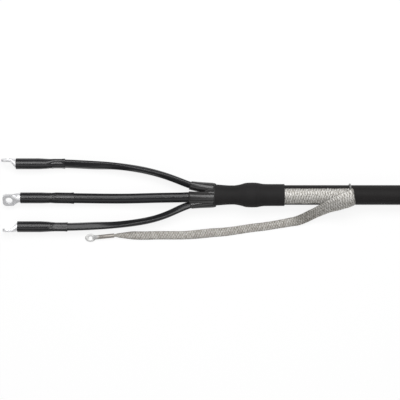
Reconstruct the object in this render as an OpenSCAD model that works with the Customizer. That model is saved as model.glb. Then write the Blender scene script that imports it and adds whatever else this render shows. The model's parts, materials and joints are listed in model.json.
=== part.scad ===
// Three-core armoured cable end: breakout boot, sleeved cores, tubular lugs and an earth braid.
// It lies on a bench: X runs along the cable to its cut end, Z is up, Y is across.

/* [Cable] */
// Outside diameter of the sheath
sheath_od = 36.4; // [34:0.2:38]
// Thickness of the sheath
sheath_wall = 3.2; // [2.4:0.1:3.6]
// Thickness of one armour tape
tape_wall = 0.6; // [0.3:0.1:0.7]
// Thickness of the bedding under the armour
bedding_wall = 2.3; // [1.8:0.1:2.4]
// Length of cable to the right of the boot
cable_run = 227; // [180:1:300]

/* [Cores] */
// Radius of the laid-up ring of insulated sectors
sector_r = 11.4; // [10.6:0.1:11.4]
// Corner radius of an insulated sector
sector_corner = 2.6; // [2:0.1:3]
// Thickness of the core insulation
insulation_wall = 1.2; // [0.8:0.1:1.6]
// Thickness of the tube shrunk on each core
tube_wall = 1; // [0.7:0.1:1.3]
// Half gap between neighbouring sectors in the cable
lay_gap = 0.1; // [0.05:0.05:0.2]
// Radius of a stripped and rounded conductor
strand_r = 6.6; // [6:0.1:6.7]

/* [Spread of the cores] */
// Distance from the crotch of the boot back to where the cores start to fan
fan_back = 30; // [26:1:34]
// Bend radius of the upper and lower cores as they fan out
fan_r = 232; // [210:1:260]
// Angle that the upper core reaches
upper_spread = 22; // [18:0.1:24]
// Angle that the lower core reaches
lower_spread = 25; // [20:0.1:26]
// Angle that the middle core sinks at
middle_spread = 7.5; // [6:0.1:8]
// Bend radius of the middle core as it sinks
middle_fan_r = 1000; // [950:10:1100]

/* [Phase lugs] */
// Outside diameter of a lug barrel
barrel_od = 17.8; // [17:0.1:18.4]
// Bore of a lug barrel
barrel_bore = 13.6; // [13.5:0.1:14]
// Length of a lug from the tip of the palm to the mouth of the barrel
lug_len = 83; // [78:1:90]
// Width of a palm
palm_w = 24; // [22:0.2:26]
// Thickness of a palm
palm_t = 4.2; // [3.4:0.1:5]
// Length of a palm
palm_len = 19; // [19:0.5:20]
// Diameter of the bolt hole in a palm
palm_hole = 13; // [10.5:0.1:13.5]
// Distance from the tip of a palm to the centre of its hole
hole_back = 11.8; // [11:0.1:12.2]
// Radius of the corners at the tip of a palm
palm_corner = 7; // [3:0.5:9]

/* [Lug sleeves] */
// Thickness of the sleeve that seals a lug to its core
sleeve_wall = 1.2; // [0.8:0.1:1.5]

/* [Breakout boot] */
// Length of the fingers past the crotch
finger_len = 46; // [40:1:52]
// Radius of a finger at its root
finger_root_r = 13.5; // [12.5:0.1:14.5]
// Radius of a finger at its tip
finger_tip_r = 10.4; // [10.2:0.1:11]
// Radius of the boot's body at the crotch
boot_r = 20.2; // [20:0.1:20.8]
// Radius of the boot at its waist
waist_r = 17.8; // [17.4:0.1:18.4]
// Radius of the boot over the clamp spring
bulge_r = 22.9; // [22.9:0.1:24]
// Thickness of the boot's wall
boot_wall = 2; // [1.8:0.1:2.1]
// Length of the boot from the crotch to the mouth
boot_len = 130; // [122:1:136]

/* [Earthing] */
// Thickness of the flattened braid
braid_t = 1.4; // [1:0.1:1.5]
// Thickness of the clamp spring's steel strip
strip_t = 0.4; // [0.2:0.1:0.4]
// Width of the clamp spring
spring_w = 24; // [16:1:26]
// Diameter of the binding wire
wire_d = 1.4; // [1:0.1:1.6]
// Outside diameter of the earth lug's ring
ring_od = 14.6; // [13:0.2:16]
// Diameter of the hole in the earth lug's ring
ring_hole = 6.4; // [5.3:0.1:6.8]
// Thickness of the earth lug's ring
ring_t = 2.2; // [1.6:0.1:2.6]
// Outside diameter of the earth lug's barrel
ring_barrel_od = 7.8; // [7.6:0.1:8.4]

/* [Hidden] */

$fn = 48;
hull_sides = 32;
over = 1;
half_turn = 180;
quarter_turn = 90;

black = "#232224";
gloss_black = "#2b2b2e";
tin = "#d9dadd";
steel = "#a9abb0";

upper = 0;
middle = 1;
lower = 2;

// Cable layers
sheath_r = sheath_od / 2;
tape_outer_r = sheath_r - sheath_wall;
tape_inner_r = tape_outer_r - tape_wall;
bedding_r = tape_inner_r - tape_wall;
bedding_bore_r = bedding_r - bedding_wall;

// Height of the cable's axis over the bench: the boot's bulge rests on it
axis_z = bulge_r;

// Places along the cable, measured from the crotch of the boot
cable_end = boot_len + cable_run;
sheath_cut_share = 0.685;
armour_cut_share = 0.346;
bedding_back = 3;
sheath_cut = boot_len * sheath_cut_share;
armour_cut = boot_len * armour_cut_share;
bedding_cut = fan_back + bedding_back;

// Tips of the three lugs, from the crotch
lug_tip = [-395, -391.6, -392.2];
// Free length of the stripped barrel that a sleeve leaves bare
sleeve_bare = [0.5, 5.5, 0.5];
// Ends of the sleeves on the core tubes, from the mouth of the lug
sleeve_reach = [35.4, 48.6, 37.2];

// The sectors' directions around the cable's axis, and the directions they spread in
sector_turn = [-24, 96, 216];
sector_turn_mid = [0, 96, 186];
sector_turn_end = [-50, 92, 222];
spread_turn = [-7.3, 254.4, 187.7];

// Bends of each core after the first one, with the angle that is left after each
spread = [upper_spread, middle_spread, lower_spread];
first_r = [fan_r, middle_fan_r, fan_r];
first_run = [14, 46, 14];
second_r = [360, 420, 199];
second_angle = [9.2, 2, 10.3];
third_r = [700, 500, 600];
third_angle = [3, 1, 3];
second_run = [44, 44, 44];
last_r = [400, 400, 400];

// Lengths along a core, from where it leaves the cable: its stations, and where it twists
route_steps = [0, 12, 24, 36, 50, 64, 78, 92, 106, 122, 140, 160, 180, 205, 230, 255, 280, 305];
step_gap = 6;
tube_station = 64;
root_end = 88;
first_twist = [92, 160];
last_twist = [180, 255];

function run_x(i) = first_r[i] * sin(spread[i]) + first_run[i] * cos(spread[i])
    + second_r[i] * (sin(spread[i]) - sin(second_angle[i]))
    + third_r[i] * (sin(second_angle[i]) - sin(third_angle[i]))
    + second_run[i] * cos(third_angle[i]) + last_r[i] * sin(third_angle[i]);
function run_h(i) = first_r[i] * (1 - cos(spread[i])) + first_run[i] * sin(spread[i])
    + second_r[i] * (cos(second_angle[i]) - cos(spread[i]))
    + third_r[i] * (cos(third_angle[i]) - cos(second_angle[i]))
    + second_run[i] * sin(third_angle[i]) + last_r[i] * (1 - cos(third_angle[i]));

// Middle of a sector, from the cable's axis, where the rounded conductor lies
strand_share = 0.53;
strand_off = sector_r * strand_share;
function strand_y(i) = run_h(i) * cos(spread_turn[i]) + strand_off * cos(sector_turn_end[i]);
function strand_z(i) = axis_z + run_h(i) * sin(spread_turn[i]) + strand_off * sin(sector_turn_end[i]);

// The part's frame stands midway between the tips and the cut end, and midway between the outer lugs
frame_x = -(cable_end + lug_tip[upper]) / 2;
frame_y = -(strand_y(upper) + strand_y(lower)) / 2;

// Outline of a rounded sector, grown by d, with the cable's axis at its origin
corner_steps = 3;
arc_steps = 4;
tip_off = (sector_corner + lay_gap) / sin(60);
side_reach = sector_r - sector_corner;
side_angle = 60 - asin((sector_corner + lay_gap) / side_reach);
side_at = [side_reach * cos(side_angle), side_reach * sin(side_angle)];
function sector_points(d, fine = 1) = let (corners = corner_steps * fine, arcs = arc_steps * fine) concat(
    [for (k = [0:arcs]) let (a = -side_angle + 2 * side_angle * k / arcs)
        [(sector_r + d) * cos(a), (sector_r + d) * sin(a)]],
    [for (k = [1:corners]) let (a = side_angle + (150 - side_angle) * k / corners)
        [side_at.x + (sector_corner + d) * cos(a), side_at.y + (sector_corner + d) * sin(a)]],
    [for (k = [0:corners]) let (a = 150 + 60 * k / corners)
        [tip_off + (sector_corner + d) * cos(a), (sector_corner + d) * sin(a)]],
    [for (k = [0:corners - 1]) let (a = 210 + (150 - side_angle) * k / corners)
        [side_at.x + (sector_corner + d) * cos(a), -side_at.y + (sector_corner + d) * sin(a)]]);

// A core's route as lengths with the angles that it starts and ends at, from where the cores fan out
function to_length(r, angle) = r * angle * PI / half_turn;
function route(i) = [
    [to_length(first_r[i], spread[i]), 0, spread[i]],
    [first_run[i], spread[i], spread[i]],
    [to_length(second_r[i], spread[i] - second_angle[i]), spread[i], second_angle[i]],
    [to_length(third_r[i], second_angle[i] - third_angle[i]), second_angle[i], third_angle[i]],
    [second_run[i], third_angle[i], third_angle[i]],
    [to_length(last_r[i], third_angle[i]), third_angle[i], 0]];
function sum(v, k = 0) = k == len(v) ? 0 : v[k][0] + sum(v, k + 1);
function bend_length(i) = sum(route(i));

// Way along X, height out of the cable's axis and angle, a length s along the route
function moved(p, part, s) = let (
    turn = part[2] - part[1],
    a = part[1] + turn * s / part[0],
    r = turn == 0 ? 0 : part[0] * half_turn / PI / turn)
    turn == 0 ? [p.x + s * cos(a), p.y + s * sin(a), a]
        : [p.x + r * (sin(a) - sin(part[1])), p.y + r * (cos(part[1]) - cos(a)), a];
function walk(parts, s, k = 0, p = [0, 0, 0]) =
    s <= 0 && k == 0 ? [s, 0, 0]
        : k == len(parts) ? [p.x + s, p.y, 0]
            : s <= parts[k][0] ? moved(p, parts[k], s)
                : walk(parts, s - parts[k][0], k + 1, moved(p, parts[k], parts[k][0]));

// The sector turns as it goes: once where the cores spread and once before the lug
function eased(s, from, to) = let (u = max(0, min(1, (s - from) / (to - from)))) u * u * (3 - 2 * u);
function turn_at(i, s) = sector_turn[i]
    + (sector_turn_mid[i] - sector_turn[i]) * eased(s, first_twist[0], first_twist[1])
    + (sector_turn_end[i] - sector_turn_mid[i]) * eased(s, last_twist[0], last_twist[1]);

// One ring of an outline across the route, a length s along it
function ring_at_length(i, outline, s) = let (
    at = walk(route(i), s),
    way = spread_turn[i],
    t = way - turn_at(i, s),
    out = [sin(at[2]), cos(at[2]) * cos(way), cos(at[2]) * sin(way)],
    side = [0, sin(way), -cos(way)],
    o = [fan_back - at.x, at.y * cos(way), axis_z + at.y * sin(way)])
    [for (q = outline)
        o + (q.x * cos(t) - q.y * sin(t)) * out + (q.x * sin(t) + q.y * cos(t)) * side];
function core_rings(i, grow, stations) = [for (s = stations) ring_at_length(i, sector_points(grow), s)];

// The sector's outline pressed round, about the middle of the conductor
function round_points(r, fine = 1) = let (
    outline = sector_points(0, fine), n = len(outline),
    a0 = atan2(outline[0].y, outline[0].x - strand_off))
    [for (k = [0:n - 1]) let (a = a0 + 360 * k / n) [strand_off + r * cos(a), r * sin(a)]];

function ring_sides(n, j, base, inward) = [for (k = [0:n - 1]) let (
    k2 = (k + 1) % n, p = base + j * n + k, q = base + j * n + k2, p2 = p + n, q2 = q + n)
    each (inward ? [[p, p2, q], [q, p2, q2]] : [[p, q, p2], [q, q2, p2]])];

// A solid through rings of points
module lofted(rings) {
    n = len(rings[0]);
    m = len(rings);
    polyhedron(points = [for (r = rings) each r], faces = concat(
        [for (j = [0:m - 2]) each ring_sides(n, j, 0, false)],
        [[for (k = [n - 1:-1:0]) k], [for (k = [0:n - 1]) (m - 1) * n + k]]));
}

// A tube through outer and inner rings
module lofted_tube(outer, inner) {
    n = len(outer[0]);
    m = len(outer);
    base = m * n;
    polyhedron(points = [for (r = concat(outer, inner)) each r], faces = concat(
        [for (j = [0:m - 2]) each ring_sides(n, j, 0, false)],
        [for (j = [0:m - 2]) each ring_sides(n, j, base, true)],
        [for (k = [0:n - 1]) let (k2 = (k + 1) % n, e = (m - 1) * n) each [
            [k, base + k, base + k2, k2], [e + k, e + k2, base + e + k2, base + e + k]]]));
}

// Stations along a core, from length s0 until it reaches to_x
function last_station(i, to_x) = fan_back - to_x - run_x(i) + bend_length(i);
function stations(i, s0, to_x) = concat([s0],
    [for (s = route_steps) if (s > s0 && s < bend_length(i) - step_gap) s],
    [bend_length(i), last_station(i, to_x)]);

// The first bend of a core as a true revolve, from angle a0 to a1, for the bore of a finger
module root_bore(i, grow, a0, a1) {
    translate([fan_back, 0, axis_z]) rotate([spread_turn[i] - quarter_turn, 0, 0])
        rotate([0, -quarter_turn, 0]) translate([first_r[i], 0, 0])
            rotate(a = half_turn, v = [0, 1, 1]) rotate(a0) rotate_extrude(angle = a1 - a0)
                translate([first_r[i], 0]) mirror([1, 0]) rotate(spread_turn[i] - sector_turn[i])
                    polygon(sector_points(grow));
}
function root_angle(i, s) = s * half_turn / PI / first_r[i];

module in_frame() {
    translate([frame_x, frame_y, 0]) children();
}

// Turns local Z to the part's X, at x along the cable's axis
module on_axis(x) {
    translate([x, 0, axis_z]) rotate([0, quarter_turn, 0]) children();
}

module ring(outer, bore, x0, x1) {
    on_axis(x0) difference() {
        cylinder(r = outer, h = x1 - x0);
        translate([0, 0, -over]) cylinder(r = bore, h = x1 - x0 + 2 * over);
    }
}

// A band of the profile's points, as x and radius, turned through an angle about the cable's axis
module turned(points) {
    translate([0, 0, axis_z]) rotate([0, quarter_turn, 0]) rotate_extrude()
        rotate(quarter_turn) mirror([0, 1]) polygon(points);
}

module turned_band(points, half_angle) {
    translate([0, 0, axis_z]) rotate([braid_turn, 0, 0]) rotate([0, quarter_turn, 0])
        rotate(-half_angle) rotate_extrude(angle = 2 * half_angle)
            rotate(quarter_turn) mirror([0, 1]) polygon(points);
}

// Sheath, armour and bedding
module cable_sheath() {
    color(black) in_frame() ring(sheath_r, tape_outer_r, sheath_cut, cable_end);
}

module armour_tape_outer() {
    color(steel) in_frame() ring(tape_outer_r, tape_inner_r, armour_cut, cable_end);
}

module armour_tape_inner() {
    color(steel) in_frame() ring(tape_inner_r, bedding_r, armour_cut - tape_step, cable_end);
}
tape_step = 2;

module bedding() {
    color("#3a3936") in_frame() ring(bedding_r, bedding_bore_r, bedding_cut, cable_end);
}

// Conductors, rounded where they enter the lugs
insulation_gap = 4;
strand_seat = 42;
rounding = 8;
function mouth(i) = lug_tip[i] + lug_len;
function insulation_end(i) = mouth(i) + insulation_gap + rounding;

module conductor(i) {
    through = stations(i, fan_back - cable_end, insulation_end(i));
    lofted(concat(core_rings(i, -insulation_wall, through), [
        for (x = [mouth(i) + insulation_gap, mouth(i) - strand_seat])
            ring_at_length(i, round_points(strand_r), last_station(i, x))]));
}
plate = 0.5;

module insulation(i) {
    through = stations(i, fan_back - cable_end, insulation_end(i));
    lofted_tube(core_rings(i, 0, through), core_rings(i, -insulation_wall, through));
}

function tube_end(i) = insulation_end(i) + tube_back;
tube_back = 3;

module core_tube(i) {
    through = stations(i, tube_station, tube_end(i));
    lofted_tube(core_rings(i, tube_wall, through), core_rings(i, 0, through));
}

// Tubular lug: the palm is the barrel's own tube pressed flat, flush with one side
flare_len = 8;
bore_end = 3;
crimp_r = 9;
crimp_depth = 1.3;
crimp_shares = [0.3, 0.68];
barrel_r = barrel_od / 2;
lug_roll = [-83, 35, 83];

module palm_outline() {
    hull() {
        for (side = [-1, 1])
            translate([palm_corner, side * (palm_w / 2 - palm_corner)]) circle(r = palm_corner);
        translate([palm_len - plate, -palm_w / 2]) square([plate, palm_w]);
    }
}

module lug(i) {
    palm_z = barrel_r - palm_t;
    barrel_at = palm_len + flare_len;
    barrel_len = lug_len - barrel_at;
    translate([lug_tip[i], strand_y(i), strand_z(i)]) rotate([lug_roll[i], 0, 0]) difference() {
        union() {
            translate([0, 0, palm_z]) linear_extrude(palm_t) palm_outline();
            hull() {
                translate([palm_len - plate, -palm_w / 2, palm_z]) cube([plate, palm_w, palm_t]);
                translate([barrel_at, 0, 0]) rotate([0, quarter_turn, 0])
                    cylinder(r = barrel_r, h = plate, $fn = hull_sides);
            }
            translate([barrel_at, 0, 0]) rotate([0, quarter_turn, 0])
                cylinder(r = barrel_r, h = barrel_len);
        }
        translate([barrel_at + bore_end, 0, 0]) rotate([0, quarter_turn, 0])
            cylinder(r = barrel_bore / 2, h = barrel_len);
        translate([hole_back, 0, palm_z - over]) cylinder(r = palm_hole / 2, h = palm_t + 2 * over);
        for (s = crimp_shares)
            translate([barrel_at + barrel_len * s, 0, -barrel_r - crimp_r + crimp_depth])
                rotate([quarter_turn, 0, 0]) cylinder(r = crimp_r, h = barrel_od, center = true);
    }
}

// Sleeve shrunk over the barrel and down on the core tube
cone_gap = 1;
smooth = 2;
sleeve_clear = 0.2;
round_clear = 0.08;
function sleeve_rings(i, grow) = let (
    s1 = last_station(i, tube_end(i)),
    s2 = last_station(i, mouth(i) + sleeve_reach[i]),
    steps = concat(route_steps, [bend_length(i)]),
    along = concat([s2], [for (s = steps) if (s > s2 + over && s < s1 - over) s], [s1]))
    concat([for (s = along) ring_at_length(i, sector_points(tube_wall + sleeve_clear + grow, smooth), s)],
        [for (x = [mouth(i) + cone_gap, lug_tip[i] + palm_len + flare_len + sleeve_bare[i]])
            ring_at_length(i, round_points(barrel_r + round_clear + grow, smooth), last_station(i, x))]);

module lug_sleeve(i) {
    lofted_tube(sleeve_rings(i, sleeve_wall), sleeve_rings(i, 0));
}

// Moulded boot: outline of the body as x and radius, and the hollow inside it
skin = 0.05;
mouth_lip = 1.2;
body_shares = [0, 0.115, 0.2, 0.292, 0.369, 0.446, 0.538, 0.623, 0.692, 0.8];
skirt_r = sheath_r + boot_wall;
body_radii = [boot_r, (boot_r + waist_r) / 2, waist_r, waist_r, (waist_r + bulge_r) / 2 - mouth_lip / 2,
    bulge_r - mouth_lip, bulge_r, bulge_r - mouth_lip / 2, skirt_r + mouth_lip / 4, skirt_r];
body_points = concat([[0, 0]],
    [for (k = [0:len(body_shares) - 1]) [boot_len * body_shares[k], body_radii[k]]],
    [[boot_len - mouth_lip, skirt_r], [boot_len, skirt_r - mouth_lip], [boot_len, 0]]);
rise_share = 0.6;
rise_points = [[boot_len * rise_share, 0], [boot_len * rise_share, skirt_r - skin],
    [boot_len - mouth_lip, skirt_r - skin], [boot_len, skirt_r - mouth_lip], [boot_len, 0]];
hollow_from = 2;
root_clear = 0.15;
crotch_wall = 3;
crotch_room_share = 0.72;
hollow_points = concat([[crotch_wall, 0], [crotch_wall, boot_r * crotch_room_share]],
    [for (k = [hollow_from:len(body_shares) - 3])
        [boot_len * body_shares[k], body_radii[k] - boot_wall]],
    [[sheath_cut + boot_wall, sheath_r + skin], [boot_len + over, sheath_r + skin], [boot_len + over, 0]]);

// Braid under the boot: fanned all round the armour, then a strip up over the cut sheath
braid_turn = 8;
braid_half_angle = 50;
rise = 1;
spring_back = 5;
climb = 6;
strip_clear = 0.35;
braid_seat = [armour_cut + spring_back, sheath_cut - spring_back];
strip_points = [[braid_seat[1] - over, tape_outer_r + skin],
    [sheath_cut - strip_clear, sheath_r + strip_clear], [boot_len, sheath_r + strip_clear],
    [boot_len, sheath_r + strip_clear + braid_t],
    [sheath_cut - climb / 2, sheath_r + strip_clear + braid_t],
    [braid_seat[1] - over, tape_outer_r + braid_t - skin]];
pocket_points = [[braid_seat[1] - over, 0], [braid_seat[1] - over, tape_outer_r + braid_t + skin],
    [sheath_cut - climb / 2 - skin, sheath_r + strip_clear + braid_t + skin],
    [boot_len + over, sheath_r + strip_clear + braid_t + skin], [boot_len + over, 0]];

module finger(i) {
    root = finger_root_off;
    tip = first_r[i] * (1 - cos(asin((fan_back + finger_len) / first_r[i])));
    at0 = [0, root * cos(sector_turn[i]), root * sin(sector_turn[i])];
    at1 = [-finger_len, tip * cos(spread_turn[i]) + strand_off * cos(sector_turn[i]),
        tip * sin(spread_turn[i]) + strand_off * sin(sector_turn[i])];
    d = at1 - at0;
    across = norm([d.y, d.z]);
    translate([0, 0, axis_z]) translate(at0)
        rotate([atan2(d.z, d.y), 0, 0]) rotate([0, 0, -atan2(d.x, across)])
            rotate([-quarter_turn, 0, 0])
                cylinder(r1 = finger_root_r, r2 = finger_tip_r, h = norm(d));
}
finger_root_off = 9.3;

module breakout_boot() {
    color(black) in_frame() difference() {
        union() {
            turned(body_points);
            translate([0, -rise * sin(braid_turn), rise * cos(braid_turn)]) turned(rise_points);
            for (i = [upper, middle, lower]) finger(i);
        }
        turned(hollow_points);
        turned_band(pocket_points, braid_half_angle);
        for (i = [upper, middle, lower]) {
            root_bore(i, root_clear, 0, root_angle(i, tube_station));
            root_bore(i, tube_wall + root_clear, root_angle(i, tube_station), root_angle(i, root_end));
        }
    }
}

// Sealing mastic that fills the boot between the crotch and the armour
module crotch_mastic() {
    back = boot_len * body_shares[hollow_from];
    front = armour_cut - tape_step - over;
    color("#1b1b1b") in_frame() turned([[back, bedding_bore_r], [back, waist_r - boot_wall],
        [boot_len * body_shares[3], waist_r - boot_wall], [front, bedding_r + boot_wall],
        [front, bedding_r], [bedding_cut, bedding_r], [bedding_cut, bedding_bore_r]]);
}

// Clamp spring: a steel strip rolled three times round the braid
spring_turns = 3;
coil_clear = 0.2;
spring_steps = 24;
spring_r = tape_outer_r + braid_t;
spring_pitch = strip_t + skin;
spring_x = (braid_seat[0] + braid_seat[1] - spring_w) / 2;
function coil(k, d) = let (a = 360 * k / spring_steps, r = spring_r + coil_clear + d + spring_pitch * a / 360)
    [r * cos(a), r * sin(a)];
module roll_spring() {
    n = spring_turns * spring_steps;
    color(steel) in_frame() on_axis(spring_x) linear_extrude(spring_w)
        polygon(concat([for (k = [0:n]) coil(k, 0)], [for (k = [n:-1:0]) coil(k, strip_t)]));
}

// Tape wound over the spring up to the inside of the boot
wrap_r = spring_r + (spring_turns + 1) * spring_pitch + coil_clear;
module spring_wrap() {
    inside = [for (k = [4:7]) [boot_len * body_shares[k], body_radii[k] - boot_wall - skin]];
    color("#26262a") in_frame() difference() {
        turned(concat([[inside[0].x, 0]], inside, [[inside[3].x, 0]]));
        on_axis(inside[0].x - over) cylinder(r = wrap_r, h = inside[3].x - inside[0].x + 2 * over);
    }
}

module braid_root() {
    color(tin) in_frame() union() {
        ring(tape_outer_r + braid_t, tape_outer_r, braid_seat[0], braid_seat[1]);
        turned_band(strip_points, braid_half_angle);
    }
}

// Binding wire: two turns round the sheath and the braid
wire_x = 250.4;
wire_pitch_share = 0.94;
wire_shift = 0.8;
wire_loop_r = sheath_r + braid_t + wire_shift / 2 + skin;
module binding_wire() {
    color(tin) in_frame() for (k = [0, 1])
        translate([0, -wire_shift * sin(braid_turn), wire_shift * cos(braid_turn)])
            on_axis(wire_x + k * wire_d * wire_pitch_share) rotate_extrude()
                translate([wire_loop_r + wire_d / 2, 0]) circle(d = wire_d);
}

// Earth braid: a flat tube of braid. Each row of its route holds the place of its middle, its
// width and thickness, the plan direction of its width, its roll and the radius that it curls to.
braid_route = [
    [130, -2.8, 42.2, 32, 1.4, 90, 8, 19.3], [150, -2.8, 42.2, 32, 1.4, 90, 8, 19.3],
    [175, -2.8, 42.2, 32, 1.4, 90, 8, 19.3], [200, -2.8, 42.2, 32, 1.4, 90, 8, 19.3],
    [225, -2.8, 42.2, 32, 1.4, 90, 8, 19.3], [243, -2.7, 42.2, 32, 1.4, 91, 8, 19.3],
    [252.6, -2.6, 42.2, 32, 1.4, 93, 8, 19.4], [256.3, -3, 43.1, 33, 1.4, 97, 8, 20],
    [257.6, -3.6, 45, 34, 1.4, 99, 8, 22], [256.3, -4.2, 46.8, 34, 1.4, 101, 9, 25],
    [252, -6, 47.2, 34, 1.4, 106, 10, 27], [243, -10, 46.6, 34, 1.4, 112, 14, 30],
    [234, -13.6, 44.6, 33, 1.5, 116, 20, 34], [222, -18.4, 40.4, 31, 1.6, 116, 27, 42],
    [208, -23.6, 33.6, 28, 1.8, 116, 34, 60], [194, -30.4, 25.4, 26, 2, 117, 37, 80],
    [180, -37, 17, 23.6, 2.2, 117, 34, 120], [167, -43.4, 9.6, 21, 2.4, 116, 22, 200],
    [154, -48.2, 4.2, 18.4, 2.4, 108, 9, 400], [140, -50.8, 1.8, 17, 2.4, 101, 0, 900],
    [120, -54.4, 1.6, 16, 2.4, 100, 0, 900], [95, -58.4, 1.6, 16, 2.4, 99, 0, 900],
    [70, -61.4, 1.6, 16, 2.4, 98, 0, 900], [45, -65.2, 1.6, 16, 2.4, 98, 0, 900],
    [20, -68.6, 1.6, 16.4, 2.4, 95, 0, 900], [-5, -70.4, 1.6, 17, 2.4, 94, 0, 900],
    [-30, -73, 1.6, 17, 2.4, 94, 0, 900], [-55, -74.8, 1.6, 16, 2.4, 91, 0, 900],
    [-80, -75, 1.6, 16, 2.4, 90, 0, 900], [-105, -75, 1.6, 16, 2.4, 91, 0, 900],
    [-130, -75.6, 1.6, 16, 2.4, 90, 0, 900], [-150, -75.2, 1.7, 15.6, 2.6, 89, 0, 900],
    [-163, -75.2, 2.2, 12.4, 3.2, 91, 0, 900], [-174, -75.2, 2.8, 9.6, 4, 93, 0, 900],
    [-181, -75.1, 3.6, 6.8, 4.8, 95.8, 0, 900], [-185, -75.3, 3.9, 5.2, 5, 95.8, 0, 900],
    [-192, -76, 3.9, 5.2, 5.2, 95.8, 0, 900]];
half_sides = 6;
edge_share = 0.25;
function rim(k) = let (s = -1 + 2 * k / (half_sides - 1))
    [s, max(edge_share, sqrt(max(0, 1 - s * s * s * s)))];
function row_at(j) = let (row = braid_route[j]) [row[0], row[1], row[2]];
function travel(j) = row_at(min(j + 1, len(braid_route) - 1)) - row_at(max(j - 1, 0));

// Points of a section: along its upper side and back along its lower side. The section curls down
// about the row's roll, and its thickness stands square to the way the braid runs.
function section_point(j, k) = let (
    row = braid_route[j],
    top = k < half_sides,
    e = rim(top ? k : 2 * half_sides - 1 - k),
    across = [cos(row[5]) * cos(row[6]), sin(row[5]) * cos(row[6]), sin(row[6])],
    up = [-cos(row[5]) * sin(row[6]), -sin(row[5]) * sin(row[6]), cos(row[6])],
    a = e[0] * row[3] / 2 / row[7] * half_turn / PI,
    square_to = cross(travel(j), across * cos(a) - up * sin(a)),
    t = (top ? 1 : -1) * row[4] / 2 * e[1])
    row_at(j) + across * row[7] * sin(a) - up * row[7] * (1 - cos(a)) + square_to / norm(square_to) * t;

module earth_braid() {
    n = 2 * half_sides;
    m = len(braid_route);
    points = [for (j = [0:m - 1]) for (k = [0:n - 1]) section_point(j, k)];
    sides = [for (j = [0:m - 2]) for (k = [0:n - 1]) let (k2 = (k + 1) % n)
        each [[j * n + k, j * n + k2, (j + 1) * n + k], [j * n + k2, (j + 1) * n + k2, (j + 1) * n + k]]];
    color(tin) in_frame() polyhedron(points = points, faces = concat([[for (k = [n - 1:-1:0]) k]], sides,
        [[for (k = [0:n - 1]) (m - 1) * n + k]]));
}

// Ring lug on the end of the braid: its barrel's axis runs along local X
ring_at = [-229.6, -79.8];
ring_heading = 5.8;
ring_barrel = [12, 38];
ring_bore_wall = 0.9;
ring_seat = 12;
module earth_lug() {
    barrel = ring_barrel_od / 2;
    color(tin) in_frame() translate([ring_at.x, ring_at.y, 0]) rotate(ring_heading) difference() {
        union() {
            cylinder(d = ring_od, h = ring_t);
            hull() {
                translate([ring_od / 4, -ring_barrel_od / 2, 0]) cube([plate, ring_barrel_od, ring_t]);
                translate([ring_barrel[0], 0, barrel]) rotate([0, quarter_turn, 0])
                    cylinder(r = barrel, h = plate, $fn = hull_sides);
            }
            translate([ring_barrel[0], 0, barrel]) rotate([0, quarter_turn, 0])
                cylinder(r = barrel, h = ring_barrel[1] - ring_barrel[0] + ring_seat / 2);
        }
        translate([0, 0, -over]) cylinder(d = ring_hole, h = ring_barrel_od + 2 * over);
        translate([ring_barrel[1] - ring_seat, 0, barrel]) rotate([0, quarter_turn, 0])
            cylinder(r = barrel - ring_bore_wall, h = ring_seat * 2);
    }
}

module conductor_upper() { color("#c9cbcf") in_frame() conductor(upper); }
module conductor_middle() { color("#c9cbcf") in_frame() conductor(middle); }
module conductor_lower() { color("#c9cbcf") in_frame() conductor(lower); }
module insulation_upper() { color("#b8b09a") in_frame() insulation(upper); }
module insulation_middle() { color("#b8b09a") in_frame() insulation(middle); }
module insulation_lower() { color("#b8b09a") in_frame() insulation(lower); }
module core_tube_upper() { color(gloss_black) in_frame() core_tube(upper); }
module core_tube_middle() { color(gloss_black) in_frame() core_tube(middle); }
module core_tube_lower() { color(gloss_black) in_frame() core_tube(lower); }
module lug_upper() { color(tin) in_frame() lug(upper); }
module lug_middle() { color(tin) in_frame() lug(middle); }
module lug_lower() { color(tin) in_frame() lug(lower); }
module lug_sleeve_upper() { color(black) in_frame() lug_sleeve(upper); }
module lug_sleeve_middle() { color(black) in_frame() lug_sleeve(middle); }
module lug_sleeve_lower() { color(black) in_frame() lug_sleeve(lower); }

cable_sheath();
armour_tape_outer();
armour_tape_inner();
bedding();
conductor_upper();
conductor_middle();
conductor_lower();
insulation_upper();
insulation_middle();
insulation_lower();
core_tube_upper();
core_tube_middle();
core_tube_lower();
lug_upper();
lug_middle();
lug_lower();
lug_sleeve_upper();
lug_sleeve_middle();
lug_sleeve_lower();
breakout_boot();
crotch_mastic();
spring_wrap();
roll_spring();
braid_root();
binding_wire();
earth_braid();
earth_lug();
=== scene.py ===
import json
import math

import bpy
import numpy as np
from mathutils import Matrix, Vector
from mathutils.bvhtree import BVHTree


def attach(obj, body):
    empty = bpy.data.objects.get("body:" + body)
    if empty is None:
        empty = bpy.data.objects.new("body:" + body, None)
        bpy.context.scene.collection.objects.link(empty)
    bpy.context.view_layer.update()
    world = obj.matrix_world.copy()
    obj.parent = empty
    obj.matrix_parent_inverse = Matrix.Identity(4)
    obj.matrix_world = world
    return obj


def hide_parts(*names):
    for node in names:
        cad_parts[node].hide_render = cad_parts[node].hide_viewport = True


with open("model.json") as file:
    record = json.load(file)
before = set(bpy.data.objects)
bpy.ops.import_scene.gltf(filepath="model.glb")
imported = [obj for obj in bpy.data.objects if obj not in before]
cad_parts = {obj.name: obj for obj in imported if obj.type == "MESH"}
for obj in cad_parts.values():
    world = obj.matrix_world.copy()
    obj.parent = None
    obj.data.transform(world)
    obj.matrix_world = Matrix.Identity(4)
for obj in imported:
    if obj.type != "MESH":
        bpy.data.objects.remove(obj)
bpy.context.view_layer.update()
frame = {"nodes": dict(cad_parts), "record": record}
MM = 0.001
# Points nearer than this are one, in m
MERGE = 2e-6
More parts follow.
